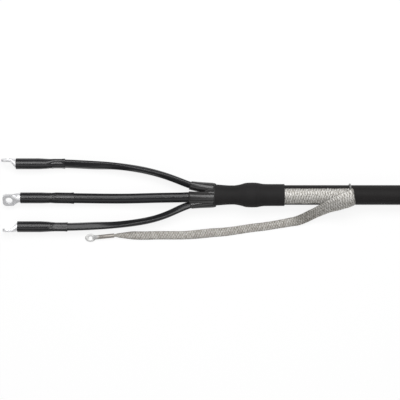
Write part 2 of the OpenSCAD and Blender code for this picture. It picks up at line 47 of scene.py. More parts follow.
# Place of the boot's crotch in the part's frame, in mm. Ways along the cable are from there.
FRAME_X, FRAME_Y, AXIS_Z = 19.0, 0.3634, 22.9
CROTCH = np.array([FRAME_X, FRAME_Y, AXIS_Z])


# The camera looks straight down on the bench, as the photograph does. All in m, and the picture's width is
# that at the height of the cable's axis.
IMAGE_WIDTH = 0.740
CAMERA_HEIGHT = 3.0
VIEW_CENTRE = (-0.0069, -0.0089)
SENSOR = 36.0


def make_camera():
    data = bpy.data.cameras.new("bench_camera")
    data.sensor_width = SENSOR
    data.lens = SENSOR * (CAMERA_HEIGHT - AXIS_Z * MM) / IMAGE_WIDTH
    data.clip_start, data.clip_end = 0.1, 20.0
    camera = bpy.data.objects.new("bench_camera", data)
    camera.location = (VIEW_CENTRE[0], VIEW_CENTRE[1], CAMERA_HEIGHT)
    bpy.context.collection.objects.link(camera)
    bpy.context.scene.camera = camera


make_camera()


# Helpers


def nothing_selected():
    if bpy.context.object is not None and bpy.context.object.mode != "OBJECT":
        bpy.ops.object.mode_set(mode="OBJECT")
    bpy.ops.object.select_all(action="DESELECT")


def make_active(obj):
    nothing_selected()
    obj.select_set(True)
    bpy.context.view_layer.objects.active = obj


def apply_modifier(obj, kind, **settings):
    make_active(obj)
    modifier = obj.modifiers.new(kind.lower(), kind)
    for name, value in settings.items():
        setattr(modifier, name, value)
    bpy.ops.object.modifier_apply(modifier=modifier.name)


def new_object(name, mesh):
    obj = bpy.data.objects.new(name, mesh)
    bpy.context.collection.objects.link(obj)
    make_active(obj)
    return obj


def shape_from(node, name):
    """A copy of a CAD node's mesh, merged into whole faces, to refine."""
    mesh = frame["nodes"][node].data.copy()
    mesh.materials.clear()
    obj = new_object(name, mesh)
    bpy.ops.object.mode_set(mode="EDIT")
    bpy.ops.mesh.select_all(action="SELECT")
    bpy.ops.mesh.remove_doubles(threshold=MERGE)
    bpy.ops.mesh.tris_convert_to_quads(face_threshold=math.radians(40), shape_threshold=math.radians(50))
    bpy.ops.object.mode_set(mode="OBJECT")
    return obj


def shape_of(name, verts, faces):
    mesh = bpy.data.meshes.new(name)
    mesh.from_pydata(verts, [], faces)
    return new_object(name, mesh)


def face_outwards(obj):
    make_active(obj)
    bpy.ops.object.mode_set(mode="EDIT")
    bpy.ops.mesh.select_all(action="SELECT")
    bpy.ops.mesh.normals_make_consistent(inside=False)
    bpy.ops.object.mode_set(mode="OBJECT")


def vertex_places(obj):
    places = np.empty(len(obj.data.vertices) * 3)
    obj.data.vertices.foreach_get("co", places)
    return places.reshape(-1, 3)


def move_vertices(obj, places):
    obj.data.vertices.foreach_set("co", places.ravel())
    obj.data.update()


def circle(sides):
    return np.linspace(0, 2 * math.pi, sides, endpoint=False)


def round_corners(obj, width, segments):
    apply_modifier(
        obj, "BEVEL", width=width * MM, segments=segments, limit_method="ANGLE", angle_limit=math.radians(35)
    )


def finish_piece(obj, material, node):
    """Gives a piece its material and its body, and hides the CAD node that it stands for."""
    obj.data.materials.clear()
    obj.data.materials.append(material)
    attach(obj, "root")
    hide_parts(node)


def shade_smooth(obj, angle=None):
    make_active(obj)
    if angle is None:
        bpy.ops.object.shade_smooth()
    else:
        bpy.ops.object.shade_smooth_by_angle(angle=math.radians(angle))


# Materials


def new_group(name, inputs, outputs):
    group = bpy.data.node_groups.new(name, "ShaderNodeTree")
    for socket, value in inputs:
        made = group.interface.new_socket(socket, in_out="INPUT", socket_type="NodeSocketFloat")
        made.default_value = value
    for socket in outputs:
        group.interface.new_socket(socket, in_out="OUTPUT", socket_type="NodeSocketFloat")
    return group, group.nodes.new("NodeGroupInput"), group.nodes.new("NodeGroupOutput")


def make_grain_group():
    """Fine moulded grain with broad soft blotches: a mask of blotches and a height."""
    group, given, out = new_group("grain", [("Fine", 900.0), ("Broad", 30.0)], ["Blotch", "Height"])
    n, link = group.nodes, group.links.new
    place = n.new("ShaderNodeTexCoord")
    fine, broad = n.new("ShaderNodeTexNoise"), n.new("ShaderNodeTexNoise")
    fine.inputs["Detail"].default_value = 4.0
    broad.inputs["Detail"].default_value = 5.0
    broad.inputs["Roughness"].default_value = 0.6
    link(place.outputs["Object"], fine.inputs["Vector"])
    link(place.outputs["Object"], broad.inputs["Vector"])
    link(given.outputs["Fine"], fine.inputs["Scale"])
    link(given.outputs["Broad"], broad.inputs["Scale"])
    link(broad.outputs["Fac"], out.inputs["Blotch"])
    link(fine.outputs["Fac"], out.inputs["Height"])
    return group


def make_streak_group():
    """Marks drawn out along X, as extruding, drawing and handling leave them."""
    group, given, out = new_group("streaks", [("Across", 700.0), ("Along", 12.0)], ["Streak", "Height"])
    n, link = group.nodes, group.links.new
    place, stretch = n.new("ShaderNodeTexCoord"), n.new("ShaderNodeCombineXYZ")
    scaled = n.new("ShaderNodeVectorMath")
    scaled.operation = "MULTIPLY"
    link(given.outputs["Along"], stretch.inputs["X"])
    link(given.outputs["Across"], stretch.inputs["Y"])
    link(given.outputs["Across"], stretch.inputs["Z"])
    link(place.outputs["Object"], scaled.inputs[0])
    link(stretch.outputs["Vector"], scaled.inputs[1])
    marks = n.new("ShaderNodeTexNoise")
    marks.inputs["Scale"].default_value = 1.0
    marks.inputs["Detail"].default_value = 3.0
    link(scaled.outputs["Vector"], marks.inputs["Vector"])
    link(marks.outputs["Fac"], out.inputs["Streak"])
    link(marks.outputs["Fac"], out.inputs["Height"])
    return group


GRAIN = make_grain_group()
STREAKS = make_streak_group()


def use_group(material, group, **values):
    node = material.node_tree.nodes.new("ShaderNodeGroup")
    node.node_tree = group
    for name, value in values.items():
        node.inputs[name].default_value = value
    return node


def ramp(material, source, *stops):
    """A colour ramp over a mask. Each stop is a place and a colour."""
    node = material.node_tree.nodes.new("ShaderNodeValToRGB")
    glint_and_tarnish_spots = node.color_ramp.elements
    while len(glint_and_tarnish_spots) < len(stops):
        glint_and_tarnish_spots.new(0.5)
    for spot, (place, colour) in zip(glint_and_tarnish_spots, stops):
        spot.position = place
        spot.color = (*colour, 1.0)
    material.node_tree.links.new(source, node.inputs["Fac"])
    return node.outputs["Color"]


def map_value(material, source, start, end, low, high):
    """A value that goes from low to high while its source goes from start to end."""
    node = material.node_tree.nodes.new("ShaderNodeMapRange")
    node.inputs["From Min"].default_value = start
    node.inputs["From Max"].default_value = end
    node.inputs["To Min"].default_value = low
    node.inputs["To Max"].default_value = high
    material.node_tree.links.new(source, node.inputs["Value"])
    return node.outputs["Result"]


def spread_value(material, mask, low, high):
    """Most of a noise mask lies between 0.3 and 0.7."""
    return map_value(material, mask, 0.3, 0.7, low, high)


def place_on(material, axis):
    """Place on the object's own X, Y or Z, in m."""
    place = material.node_tree.nodes.new("ShaderNodeTexCoord")
    split = material.node_tree.nodes.new("ShaderNodeSeparateXYZ")
    material.node_tree.links.new(place.outputs["Object"], split.inputs["Vector"])
    return split.outputs[axis]


def blend_colours(material, kind, factor, first, second):
    node = material.node_tree.nodes.new("ShaderNodeMix")
    node.data_type = "RGBA"
    node.blend_type = kind
    for socket, value in (("Factor", factor), ("A", first), ("B", second)):
        if isinstance(value, (float, tuple)):
            node.inputs[socket].default_value = value
        else:
            material.node_tree.links.new(value, node.inputs[socket])
    return node.outputs["Result"]


def bump(material, height, strength, distance):
    node = material.node_tree.nodes.new("ShaderNodeBump")
    node.inputs["Strength"].default_value = strength
    node.inputs["Distance"].default_value = distance
    material.node_tree.links.new(height, node.inputs["Height"])
    return node.outputs["Normal"]


def new_material(name, metallic=0.0, specular=0.5):
    material = bpy.data.materials.new(name)
    material.use_nodes = True
    shader = material.node_tree.nodes["Principled BSDF"]
    shader.inputs["Metallic"].default_value = metallic
    shader.inputs["Specular IOR Level"].default_value = specular
    return material, shader, material.node_tree.links.new


def moulded(name, dark, light, rough, specular, fine=900.0, height=0.15):
    """A moulded or shrunk black polymer, with grain and soft blotches of sheen."""
    material, shader, link = new_material(name, specular=specular)
    grain = use_group(material, GRAIN, Fine=fine, Broad=24.0)
    link(ramp(material, grain.outputs["Blotch"], (0.3, dark), (0.7, light)), shader.inputs["Base Color"])
    link(spread_value(material, grain.outputs["Blotch"], rough[0], rough[1]), shader.inputs["Roughness"])
    link(bump(material, grain.outputs["Height"], height, 0.1 * MM), shader.inputs["Normal"])
    return material


def drawn_metal(name, dark, light, rough, across=700.0, along=20.0, height=0.2):
    """A metal with marks along X."""
    material, shader, link = new_material(name, metallic=1.0)
    marks = use_group(material, STREAKS, Across=across, Along=along)
    link(ramp(material, marks.outputs["Streak"], (0.3, dark), (0.7, light)), shader.inputs["Base Color"])
    link(spread_value(material, marks.outputs["Streak"], rough[0], rough[1]), shader.inputs["Roughness"])
    link(bump(material, marks.outputs["Height"], height, 0.05 * MM), shader.inputs["Normal"])
    return material


def extruded(name, dark, light, rough, specular):
    """A polymer with faint marks along X from its die."""
    material, shader, link = new_material(name, specular=specular)
    marks = use_group(material, STREAKS, Across=420.0, Along=9.0)
    grain = use_group(material, GRAIN, Fine=1300.0, Broad=16.0)
    link(ramp(material, marks.outputs["Streak"], (0.25, dark), (0.75, light)), shader.inputs["Base Color"])
    link(spread_value(material, grain.outputs["Blotch"], rough[0], rough[1]), shader.inputs["Roughness"])
    link(bump(material, grain.outputs["Height"], 0.2, 0.08 * MM), shader.inputs["Normal"])
    return material


def boot_polymer():
    """The boot is dull on its body and glossy on the fingers, which shrank further."""
    material = moulded(
        "boot_polymer", (0.0145, 0.014, 0.014), (0.0205, 0.0195, 0.02), (0.0, 0.08), 0.1, 700.0, 0.04
    )
    shader, link = material.node_tree.nodes["Principled BSDF"], material.node_tree.links.new
    along = place_on(material, "X")
    shoulder = ((FRAME_X - 1.0) * MM, (FRAME_X + 1.5) * MM)
    blotch = shader.inputs["Roughness"].links[0].from_socket
    total = material.node_tree.nodes.new("ShaderNodeMath")
    link(map_value(material, along, *shoulder, 0.25, 0.6), total.inputs[0])
    link(blotch, total.inputs[1])
    link(total.outputs[0], shader.inputs["Roughness"])
    link(map_value(material, along, *shoulder, 0.55, 0.1), shader.inputs["Specular IOR Level"])
    return material


BOOT = boot_polymer()
TUBE = moulded(
    "core_tube_polymer", (0.008, 0.008, 0.009), (0.013, 0.013, 0.015), (0.17, 0.26), 0.29, 300.0, 0.012
)
SLEEVE = moulded("sleeve_polymer", (0.009, 0.009, 0.01), (0.014, 0.014, 0.016), (0.2, 0.3), 0.42, 300.0, 0.02)
SHEATH = extruded("sheath_pvc", (0.012, 0.011, 0.011), (0.017, 0.016, 0.016), (0.55, 0.7), 0.12)
BEDDING = moulded("bedding_compound", (0.03, 0.03, 0.028), (0.05, 0.05, 0.046), (0.6, 0.8), 0.3)
INSULATION = moulded("core_insulation", (0.55, 0.5, 0.4), (0.66, 0.61, 0.5), (0.4, 0.5), 0.4)
MASTIC = moulded("sealing_mastic", (0.012, 0.012, 0.012), (0.02, 0.02, 0.02), (0.3, 0.5), 0.5, 300.0, 0.5)
WRAP = moulded("spring_tape", (0.02, 0.02, 0.024), (0.03, 0.03, 0.035), (0.4, 0.5), 0.4)
TIN = drawn_metal("tinned_copper", (0.71, 0.71, 0.725), (0.79, 0.79, 0.805), (0.38, 0.46), 500.0, 120.0, 0.05)
TIN.node_tree.nodes["Principled BSDF"].inputs["Metallic"].default_value = 0.6
WIRE = drawn_metal("tinned_wire", (0.3, 0.3, 0.3), (0.45, 0.45, 0.44), (0.4, 0.5), 900.0, 900.0, 0.1)
STEEL = drawn_metal("galvanised_steel", (0.36, 0.37, 0.39), (0.5, 0.51, 0.53), (0.35, 0.5))


def make_earth_tin():
    """The small lug is bright on its palm and darkened on its crimped barrel."""
    material = drawn_metal(
        "earth_lug_tin", (0.42, 0.42, 0.42), (0.52, 0.515, 0.51), (0.4, 0.5), 400.0, 160.0, 0.1
    )
    shader = material.node_tree.nodes["Principled BSDF"]
    bright = shader.inputs["Base Color"].links[0].from_socket
    neck = ((FRAME_X - 220.0) * MM, (FRAME_X - 212.0) * MM)
    barrel = map_value(material, place_on(material, "X"), *neck, 0.0, 1.0)
    dulled = blend_colours(material, "MIX", barrel, bright, (0.29, 0.27, 0.25, 1.0))
    material.node_tree.links.new(dulled, shader.inputs["Base Color"])
    shader.inputs["Metallic"].default_value = 0.6
    return material


EARTH_TIN = make_earth_tin()


def make_strand_metal():
    """Sector conductor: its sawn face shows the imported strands."""
    material, shader, link = new_material("stranded_aluminium", metallic=1.0)
    n = material.node_tree.nodes
    place, cells = n.new("ShaderNodeTexCoord"), n.new("ShaderNodeTexVoronoi")
    cells.feature = "DISTANCE_TO_EDGE"
    cells.voronoi_dimensions = "3D"
    cells.inputs["Scale"].default_value = 340.0
    flat = n.new("ShaderNodeMapping")
    flat.inputs["Scale"].default_value = (0.02, 1.0, 1.0)
    link(place.outputs["Object"], flat.inputs["Vector"])
    link(flat.outputs["Vector"], cells.inputs["Vector"])
    link(
        ramp(material, cells.outputs["Distance"], (0.0, (0.2, 0.2, 0.21)), (0.12, (0.72, 0.73, 0.75))),
        shader.inputs["Base Color"],
    )
    shader.inputs["Roughness"].default_value = 0.38
    link(bump(material, cells.outputs["Distance"], 0.6, 0.4 * MM), shader.inputs["Normal"])
    return material


WHITE = (1.0, 1.0, 1.0)
# Wires across one ribbon of the braid
WIRES = 7.0


def make_braid_metal():
    """Tinned wires side by side in each ribbon, whose map goes across it and from under to over. Its colour
    holds painted shade in the grooves between the wires and under the crossings, and painted glints among
    tarnish spots.
    """
    material, shader, link = new_material("tinned_braid", metallic=0.7)
    n = material.node_tree.nodes
    chart, split = n.new("ShaderNodeUVMap"), n.new("ShaderNodeSeparateXYZ")
    chart.uv_map = "ribbon"
    link(chart.outputs["UV"], split.inputs["Vector"])
    count, wires = n.new("ShaderNodeMath"), n.new("ShaderNodeMath")
    count.operation = "MULTIPLY"
    count.inputs[1].default_value = WIRES
    wires.operation = "PINGPONG"
    wires.inputs[1].default_value = 0.5
    link(split.outputs["X"], count.inputs[0])
    link(count.outputs[0], wires.inputs[0])
    glint_and_tarnish_spots = use_group(material, GRAIN, Fine=1500.0, Broad=240.0).outputs["Blotch"]
    # Each wire is painted darker towards its edges: painted shade in the grooves between the wires
    wire_groove_shade = ramp(material, wires.outputs[0], (0.0, (0.36, 0.345, 0.32)), (0.3, (0.88, 0.87, 0.85)))
    # Random spots, partly tarnish and partly painted glints of the wires where the ramp reaches white
    glints_and_tarnish = ramp(material, glint_and_tarnish_spots, (0.36, (0.6, 0.585, 0.555)), (0.62, WHITE))
    # Where a ribbon dips under the others it lies in their shade
    shade = ramp(material, split.outputs["Y"], (0.45, (0.5, 0.49, 0.475)), (0.88, WHITE))
    # The braid is a little darker where it lies low, off the sheath, than along the sheath
    darker_low_down = ramp(material, place_on(material, "Z"), (0.012, (0.76, 0.75, 0.735)), (0.04, WHITE))
    colour = wire_groove_shade
    for layer in (glints_and_tarnish, shade, darker_low_down):
        colour = blend_colours(material, "MULTIPLY", 1.0, colour, layer)
    link(colour, shader.inputs["Base Color"])
    shader.inputs["Roughness"].default_value = 0.55
    link(bump(material, wires.outputs[0], 0.7, 0.2 * MM), shader.inputs["Normal"])
    return material


STRANDS = make_strand_metal()
BRAID = make_braid_metal()


# The earth braid, a free cord

# Place of the braid's middle from the crotch of the boot, in mm, then its width, its thickness,
# the plan direction and the roll of its width in degrees, and the radius that it curls to
BRAID_ROUTE = [
    (130, -2.8, 42.2, 32, 1.4, 90, 8, 19.3), (150, -2.8, 42.2, 32, 1.4, 90, 8, 19.3),
    (175, -2.8, 42.2, 32, 1.4, 90, 8, 19.3), (200, -2.8, 42.2, 32, 1.4, 90, 8, 19.3),
    (225, -2.8, 42.2, 32, 1.4, 90, 8, 19.3), (243, -2.7, 42.2, 32, 1.4, 91, 8, 19.3),
    (252.6, -2.6, 42.2, 32, 1.4, 93, 8, 19.4), (256.3, -3, 43.1, 33, 1.4, 97, 8, 20),
    (257.6, -3.6, 45, 34, 1.4, 99, 8, 22), (256.3, -4.2, 46.8, 34, 1.4, 101, 9, 25),
    (252, -6, 47.2, 34, 1.4, 106, 10, 27), (243, -10, 46.6, 34, 1.4, 112, 14, 30),
    (234, -13.6, 44.6, 33, 1.5, 116, 20, 34), (222, -18.4, 40.4, 31, 1.6, 116, 27, 42),
    (208, -23.6, 33.6, 28, 1.8, 116, 34, 60), (194, -30.4, 25.4, 26, 2, 117, 37, 80),
    (180, -37, 17, 23.6, 2.2, 117, 34, 120), (167, -43.4, 9.6, 21, 2.4, 116, 22, 200),
    (154, -48.2, 4.2, 18.4, 2.4, 108, 9, 400), (140, -50.8, 1.8, 17, 2.4, 101, 0, 900),
    (120, -54.4, 1.6, 16, 2.4, 100, 0, 900), (95, -58.4, 1.6, 16, 2.4, 99, 0, 900),
    (70, -61.4, 1.6, 16, 2.4, 98, 0, 900), (45, -65.2, 1.6, 16, 2.4, 98, 0, 900),
    (20, -68.6, 1.6, 16.4, 2.4, 95, 0, 900), (-5, -70.4, 1.6, 17, 2.4, 94, 0, 900),
    (-30, -73, 1.6, 17, 2.4, 94, 0, 900), (-55, -74.8, 1.6, 16, 2.4, 91, 0, 900),
    (-80, -75, 1.6, 16, 2.4, 90, 0, 900), (-105, -75, 1.6, 16, 2.4, 91, 0, 900),
    (-130, -75.6, 1.6, 16, 2.4, 90, 0, 900), (-150, -75.2, 1.7, 15.6, 2.6, 89, 0, 900),
    (-163, -75.2, 2.2, 12.4, 3.2, 91, 0, 900), (-174, -75.2, 2.8, 9.6, 4, 93, 0, 900),
    (-181, -75.1, 3.6, 6.8, 4.8, 95.8, 0, 900), (-185, -75.3, 3.9, 5.2, 5, 95.8, 0, 900),
    (-192, -76, 3.9, 5.2, 5.2, 95.8, 0, 900),
]
CURVE_STEPS = 24
# Eight ribbons go round each way. The pitch is the length of one turn, and all lengths are in mm.
CARRIERS = 8
BRAID_PITCH = 38.0
RIBBON_STEP = 1.5
RIBBON_T = 0.34
# A ribbon's share of its lane, and how far it goes up and down over the others
COVER = 0.86
WEAVE_LIFT = 0.22
# A ribbon's section: share of its width, part of half its thickness, and place across on the map
RIBBON_SECTION = [
    (-0.5, 0.0, 0.0), (-0.26, 1.0, 0.25), (0.26, 1.0, 0.75), (0.5, 0.0, 1.0), (0.0, -0.8, 0.5),
]
# How high the ribbons of one hand and of the other stand on the map at their middle. The map's height sets
# the painted shade, so the second hand, standing lower, is painted darker, as if light caught it less
SHADE_TONES = {1: 0.5, -1: 0.42}


def even_route():
    """The braid's route at even steps of length, as one smooth curve through its rows."""
    rows = np.array(BRAID_ROUTE, float)
    ends = np.vstack([2 * rows[0] - rows[1], rows, 2 * rows[-1] - rows[-2]])
    fine = []
    for j in range(1, len(ends) - 2):
        p0, p1, p2, p3 = ends[j - 1 : j + 3]
        square, cube = 2 * p0 - 5 * p1 + 4 * p2 - p3, 3 * p1 - p0 - 3 * p2 + p3
        for t in np.linspace(0, 1, CURVE_STEPS, endpoint=False):
            fine.append(0.5 * (2 * p1 + (p2 - p0) * t + square * t**2 + cube * t**3))
    fine = np.array(fine + [rows[-1]])
    along = np.concatenate([[0], np.cumsum(np.linalg.norm(np.diff(fine[:, :3], axis=0), axis=1))])
    marks = np.linspace(0, along[-1], int(along[-1] / RIBBON_STEP) + 1)
    return marks, np.column_stack([np.interp(marks, along, column) for column in fine.T])


def braid_frames(rows):
    """Middle, width direction and upward direction at each step, and the way the braid runs."""
    head, roll = np.radians(rows[:, 5]), np.radians(rows[:, 6])
    across = np.column_stack([np.cos(head) * np.cos(roll), np.sin(head) * np.cos(roll), np.sin(roll)])
    up = np.column_stack([-np.cos(head) * np.sin(roll), -np.sin(head) * np.sin(roll), np.cos(roll)])
    travel = np.gradient(rows[:, :3], axis=0)
    return rows[:, :3], across, up, travel


def on_braid(rows, frames, turn, lift):
    """Points on the flattened tube at a turn round it, from 0 to 1, raised off its middle layer by lift."""
    middle, across, up, travel = frames
    turn = np.mod(turn, 1.0)
    side = np.where(turn < 0.5, 4 * turn - 1, 3 - 4 * turn)
    face = np.where(turn < 0.5, 1.0, -1.0)
    round_edge = np.clip(1 - np.abs(side) ** 5, 0, 1) ** 0.5
    curl = side * rows[:, 3] / 2 / rows[:, 7]
    sine, cosine = np.sin(curl)[:, None], np.cos(curl)[:, None]
    radius = rows[:, 7][:, None]
    square = np.cross(travel, across * cosine - up * sine)
    square /= np.linalg.norm(square, axis=1)[:, None]
    height = face * round_edge * (rows[:, 4] / 2 - RIBBON_T / 2) + face * lift
    return middle + across * radius * sine - up * radius * (1 - cosine) + square * height[:, None]


def chart_corners(c, near, far, hand):
    """Places on the map of the corners of a ribbon's face, of the side c of its section."""
    # The section's last point is its underside, in the middle of its width
    start, end = RIBBON_SECTION[c][2], RIBBON_SECTION[(c + 1) % len(RIBBON_SECTION)][2]
    corners = [(start, near), (end, near), (end, far), (start, far)]
    return corners if hand > 0 else [corners[0], corners[3], corners[2], corners[1]]


def make_braid():
    """Eight ribbons each way round a flattened tube, over two and under two."""
    marks, rows = even_route()
    frames = braid_frames(rows)
    verts, faces, charts = [], [], []
    k = len(RIBBON_SECTION)
    lane = COVER / CARRIERS
    for hand, shade_tone in SHADE_TONES.items():
        for carrier in range(CARRIERS):
            turn = carrier / CARRIERS + hand * marks / BRAID_PITCH
            crossing = 2 * CARRIERS * marks / BRAID_PITCH * hand + 2 * carrier
            over = hand * np.cos(math.pi / 2 * (crossing + 0.5))
            base = len(verts)
            rings = [
                on_braid(rows, frames, turn + share * lane, over * WEAVE_LIFT + crown * RIBBON_T / 2)
                for share, crown, _ in RIBBON_SECTION
            ]
            for step in range(len(marks)):
                verts.extend(ring[step] for ring in rings)
            # A ribbon's height on the map, and so its painted shade, is low where it dips under and high
            # where it goes over
            shade_tones = shade_tone + shade_tone * over
            for step in range(len(marks) - 1):
                a, b = base + step * k, base + (step + 1) * k
                for c in range(k):
                    d = (c + 1) % k
                    faces.append((a + c, a + d, b + d, b + c) if hand > 0 else (a + c, b + c, b + d, a + d))
                    charts.append(chart_corners(c, shade_tones[step], shade_tones[step + 1], hand))
            last = base + (len(marks) - 1) * k
            faces += [tuple(base + c for c in range(k)), tuple(last + c for c in reversed(range(k)))]
            charts += [[], []]
    offset = np.array([FRAME_X, FRAME_Y, 0.0])
    obj = shape_of("earth_braid_wires", [tuple((v + offset) * MM) for v in verts], faces)
    chart = obj.data.uv_layers.new(name="ribbon")
    for polygon, corners in zip(obj.data.polygons, charts):
        for loop, corner in zip(polygon.loop_indices, corners):
            chart.data[loop].uv = corner
    face_outwards(obj)
    shade_smooth(obj, 50)
    finish_piece(obj, BRAID, "earth_braid")


# Tubes, sleeves, boot and lugs


def middle_core_shift(x):
    """How much nearer the braid the middle core lies than its solids do. All in mm, x from the crotch."""
    return np.interp(x, [-290.0, -210.0, -110.0, -62.0, -40.0, 5.0], [0.0, -1.3, -2.1, -2.8, -2.4, 0.0])


def lay_middle_core(obj):
    places = vertex_places(obj)
    places[:, 1] += middle_core_shift(places[:, 0] / MM - FRAME_X) * MM
    move_vertices(obj, places)


def make_core_tube(which):
    """The tube shrunk on a core, smooth all along."""
    obj = shape_from("core_tube_" + which, "core_tube_skin_" + which)
    apply_modifier(obj, "SUBSURF", levels=2, render_levels=2)
    if which == "middle":
        lay_middle_core(obj)
    shade_smooth(obj)
    finish_piece(obj, TUBE, "core_tube_" + which)


# Where the boot's fingers grip the insulation, by way from the crotch, and how far they press it, in mm
GRIPPED = (-42.0, 12.0)
GRIP = 0.7


def make_insulation(which):
    """A core's insulation, pressed in where the boot grips it. The middle one lies as its tube does."""
    obj = shape_from("insulation_" + which, "insulation_laid_" + which)
    core = frame["nodes"]["conductor_" + which].data
    conductor = BVHTree.FromPolygons([v.co for v in core.vertices], [list(p.vertices) for p in core.polygons])
    for vertex in obj.data.vertices:
        if GRIPPED[0] < vertex.co.x / MM - FRAME_X < GRIPPED[1]:
            near, _, _, gap = conductor.find_nearest(vertex.co)
            if gap > GRIP * MM:
                vertex.co += (near - vertex.co).normalized() * GRIP * MM
    obj.data.update()
    if which == "middle":
        lay_middle_core(obj)
    shade_smooth(obj, 30)
    finish_piece(obj, INSULATION, "insulation_" + which)


def make_middle_conductor():
    """The middle core's conductor lies as its tube does."""
    obj = shape_from("conductor_middle", "conductor_laid_middle")
    lay_middle_core(obj)
    shade_smooth(obj, 30)
    finish_piece(obj, STRANDS, "conductor_middle")


# Way of the barrel's shoulder in each sleeve, and of the sleeve's end, in mm from the crotch
SLEEVE_ENDS = {"upper": (-318.0, -276.5), "middle": (-308.0, -260.0), "lower": (-316.0, -272.5)}
# How far a sleeve draws in past the shoulder and at its lip, slice by slice, in mm
HUG, LIP_HUG = 0.75, 0.1
SLICE = 2.0


def make_sleeve(which):
    """The sleeve hugs the tube past the barrel's shoulder, and swells again at its lip."""
    obj = shape_from("lug_sleeve_" + which, "lug_sleeve_skin_" + which)
    apply_modifier(obj, "SUBSURF", subdivision_type="SIMPLE", levels=2, render_levels=2)
    shoulder, end = SLEEVE_ENDS[which]
    places = vertex_places(obj)
    x = places[:, 0] / MM - FRAME_X
    for low in np.arange(x.min(), x.max(), SLICE):
        near = (x >= low) & (x < low + SLICE)
        if not near.any():
            continue
        middle = (places[near][:, 1:].max(axis=0) + places[near][:, 1:].min(axis=0)) / 2
        out = places[near][:, 1:] - middle
        reach = np.linalg.norm(out, axis=1)
        hug = np.interp(x[near], [shoulder - 3, shoulder + 3, end - 5, end - 2.5], [0.0, HUG, HUG, LIP_HUG])
        outer = reach > np.median(reach)
        places[near, 1:] = middle + out * np.where(outer, 1 - hug * MM / reach, 1.0)[:, None]
    move_vertices(obj, places)
    if which == "middle":
        lay_middle_core(obj)
    shade_smooth(obj, 40)
    finish_piece(obj, SLEEVE, "lug_sleeve_" + which)


# Fingers of the boot: the core's bend radius, the way it spreads and its turn in degrees,
# then the place of the finger's root across the cable and its radius there, in mm
FINGERS = [
    (232.0, -7.3, -24.0, (10.1, -2.4), 10.5),
    (1000.0, 254.4, 96.0, (-3.6, 9.6), 10.3),
    (232.0, 187.7, 216.0, (-10.8, -3.4), 10.6),
]
# The cores start to spread this far inside the boot, and the fingers end this far out of it
FAN_BACK = 30.0
FINGER_LENGTH = 46.0
FINGER_WALL = 2.4
# A finger's skin starts here, by way along its core, and takes on the core's shape from MORPH_START on
FINGER_START, MORPH_START = 27.0, 28.0
FINGER_RINGS, FINGER_SIDES = 29, 64
# A finger is narrower by a share at its root, gone after a length in mm, and by another at its open end
ROOT_DRAW, ROOT_DRAW_START, ROOT_DRAW_LENGTH = 0.16, 26.0, 7.0
TIP_DRAW = 0.06
# A shaped core: its radius, the radius of its corners, the gap between cores, and how far its strands'
# middle is from the cable's
SECTOR_R, SECTOR_CORNER, LAY_GAP = 11.4, 2.6, 0.1
STRAND_OFF = 0.53 * SECTOR_R
# The boot's outline: way from the crotch and radius, in mm
BODY_LINE = [
    (0.0, 19.6), (4.0, 19.5), (10.0, 19.1), (18.0, 18.4), (27.0, 17.8), (38.0, 17.7),
    (46.0, 18.9), (52.0, 20.5), (57.0, 22.0), (60.0, 22.6), (70.0, 23.0), (79.0, 22.7),
    (82.0, 22.1), (88.0, 20.9), (92.0, 20.4), (104.0, 20.2), (130.0, 20.2),
]
BODY_RINGS, BODY_SIDES, WEB_SIDES = 66, 96, 36
# From here on a second body, raised and rolled a little, makes the side over the braid
RISE_START, RISE, RISE_ROLL = 78.0, 1.0, 8.0
# The web in the crotch between the fingers, and where its middle is from the cable's axis
WEB_LINE = [
    (4.0, 15.2), (0.0, 15.2), (-6.0, 15.0), (-11.0, 14.2),
    (-15.0, 12.4), (-19.0, 9.4), (-22.0, 6.6), (-24.0, 4.0),
]
WEB_ASIDE, WEB_RISE = -0.5, 1.0
MOUTH = 130.0
BOOT_WALL = 1.5
# A face belongs to an open end if it is no further than this behind the end's middle and from it, in mm,
# and if its direction is this near to the end's, from 0 to 1
END_BEHIND, END_REACH, END_FACING = 1.0, 24.0, 0.75


def sector_reach(angle):
    """How far a shaped core's outline is from its strands' middle, at an angle from the way it points."""
    reach = SECTOR_R - SECTOR_CORNER
    side = 60 - math.degrees(math.asin((SECTOR_CORNER + LAY_GAP) / reach))
    corners = [
        (reach * math.cos(math.radians(side)), reach * math.sin(math.radians(side))),
        ((SECTOR_CORNER + LAY_GAP) / math.sin(math.radians(60)), 0.0),
        (reach * math.cos(math.radians(side)), -reach * math.sin(math.radians(side))),
    ]
    outline = []
    for start, end, centre, radius in (
        (-side, side, (0.0, 0.0), SECTOR_R), (side, 150, corners[0], SECTOR_CORNER),
        (150, 210, corners[1], SECTOR_CORNER), (210, 360 - side, corners[2], SECTOR_CORNER),
    ):
        for a in np.radians(np.linspace(start, end, CURVE_STEPS)):
            outline.append((centre[0] + radius * math.cos(a) - STRAND_OFF, centre[1] + radius * math.sin(a)))
    outline = np.array(outline)
    around = np.arctan2(outline[:, 1], outline[:, 0])
    order = np.argsort(around)
    return np.interp(angle, around[order], np.linalg.norm(outline, axis=1)[order], period=2 * math.pi)


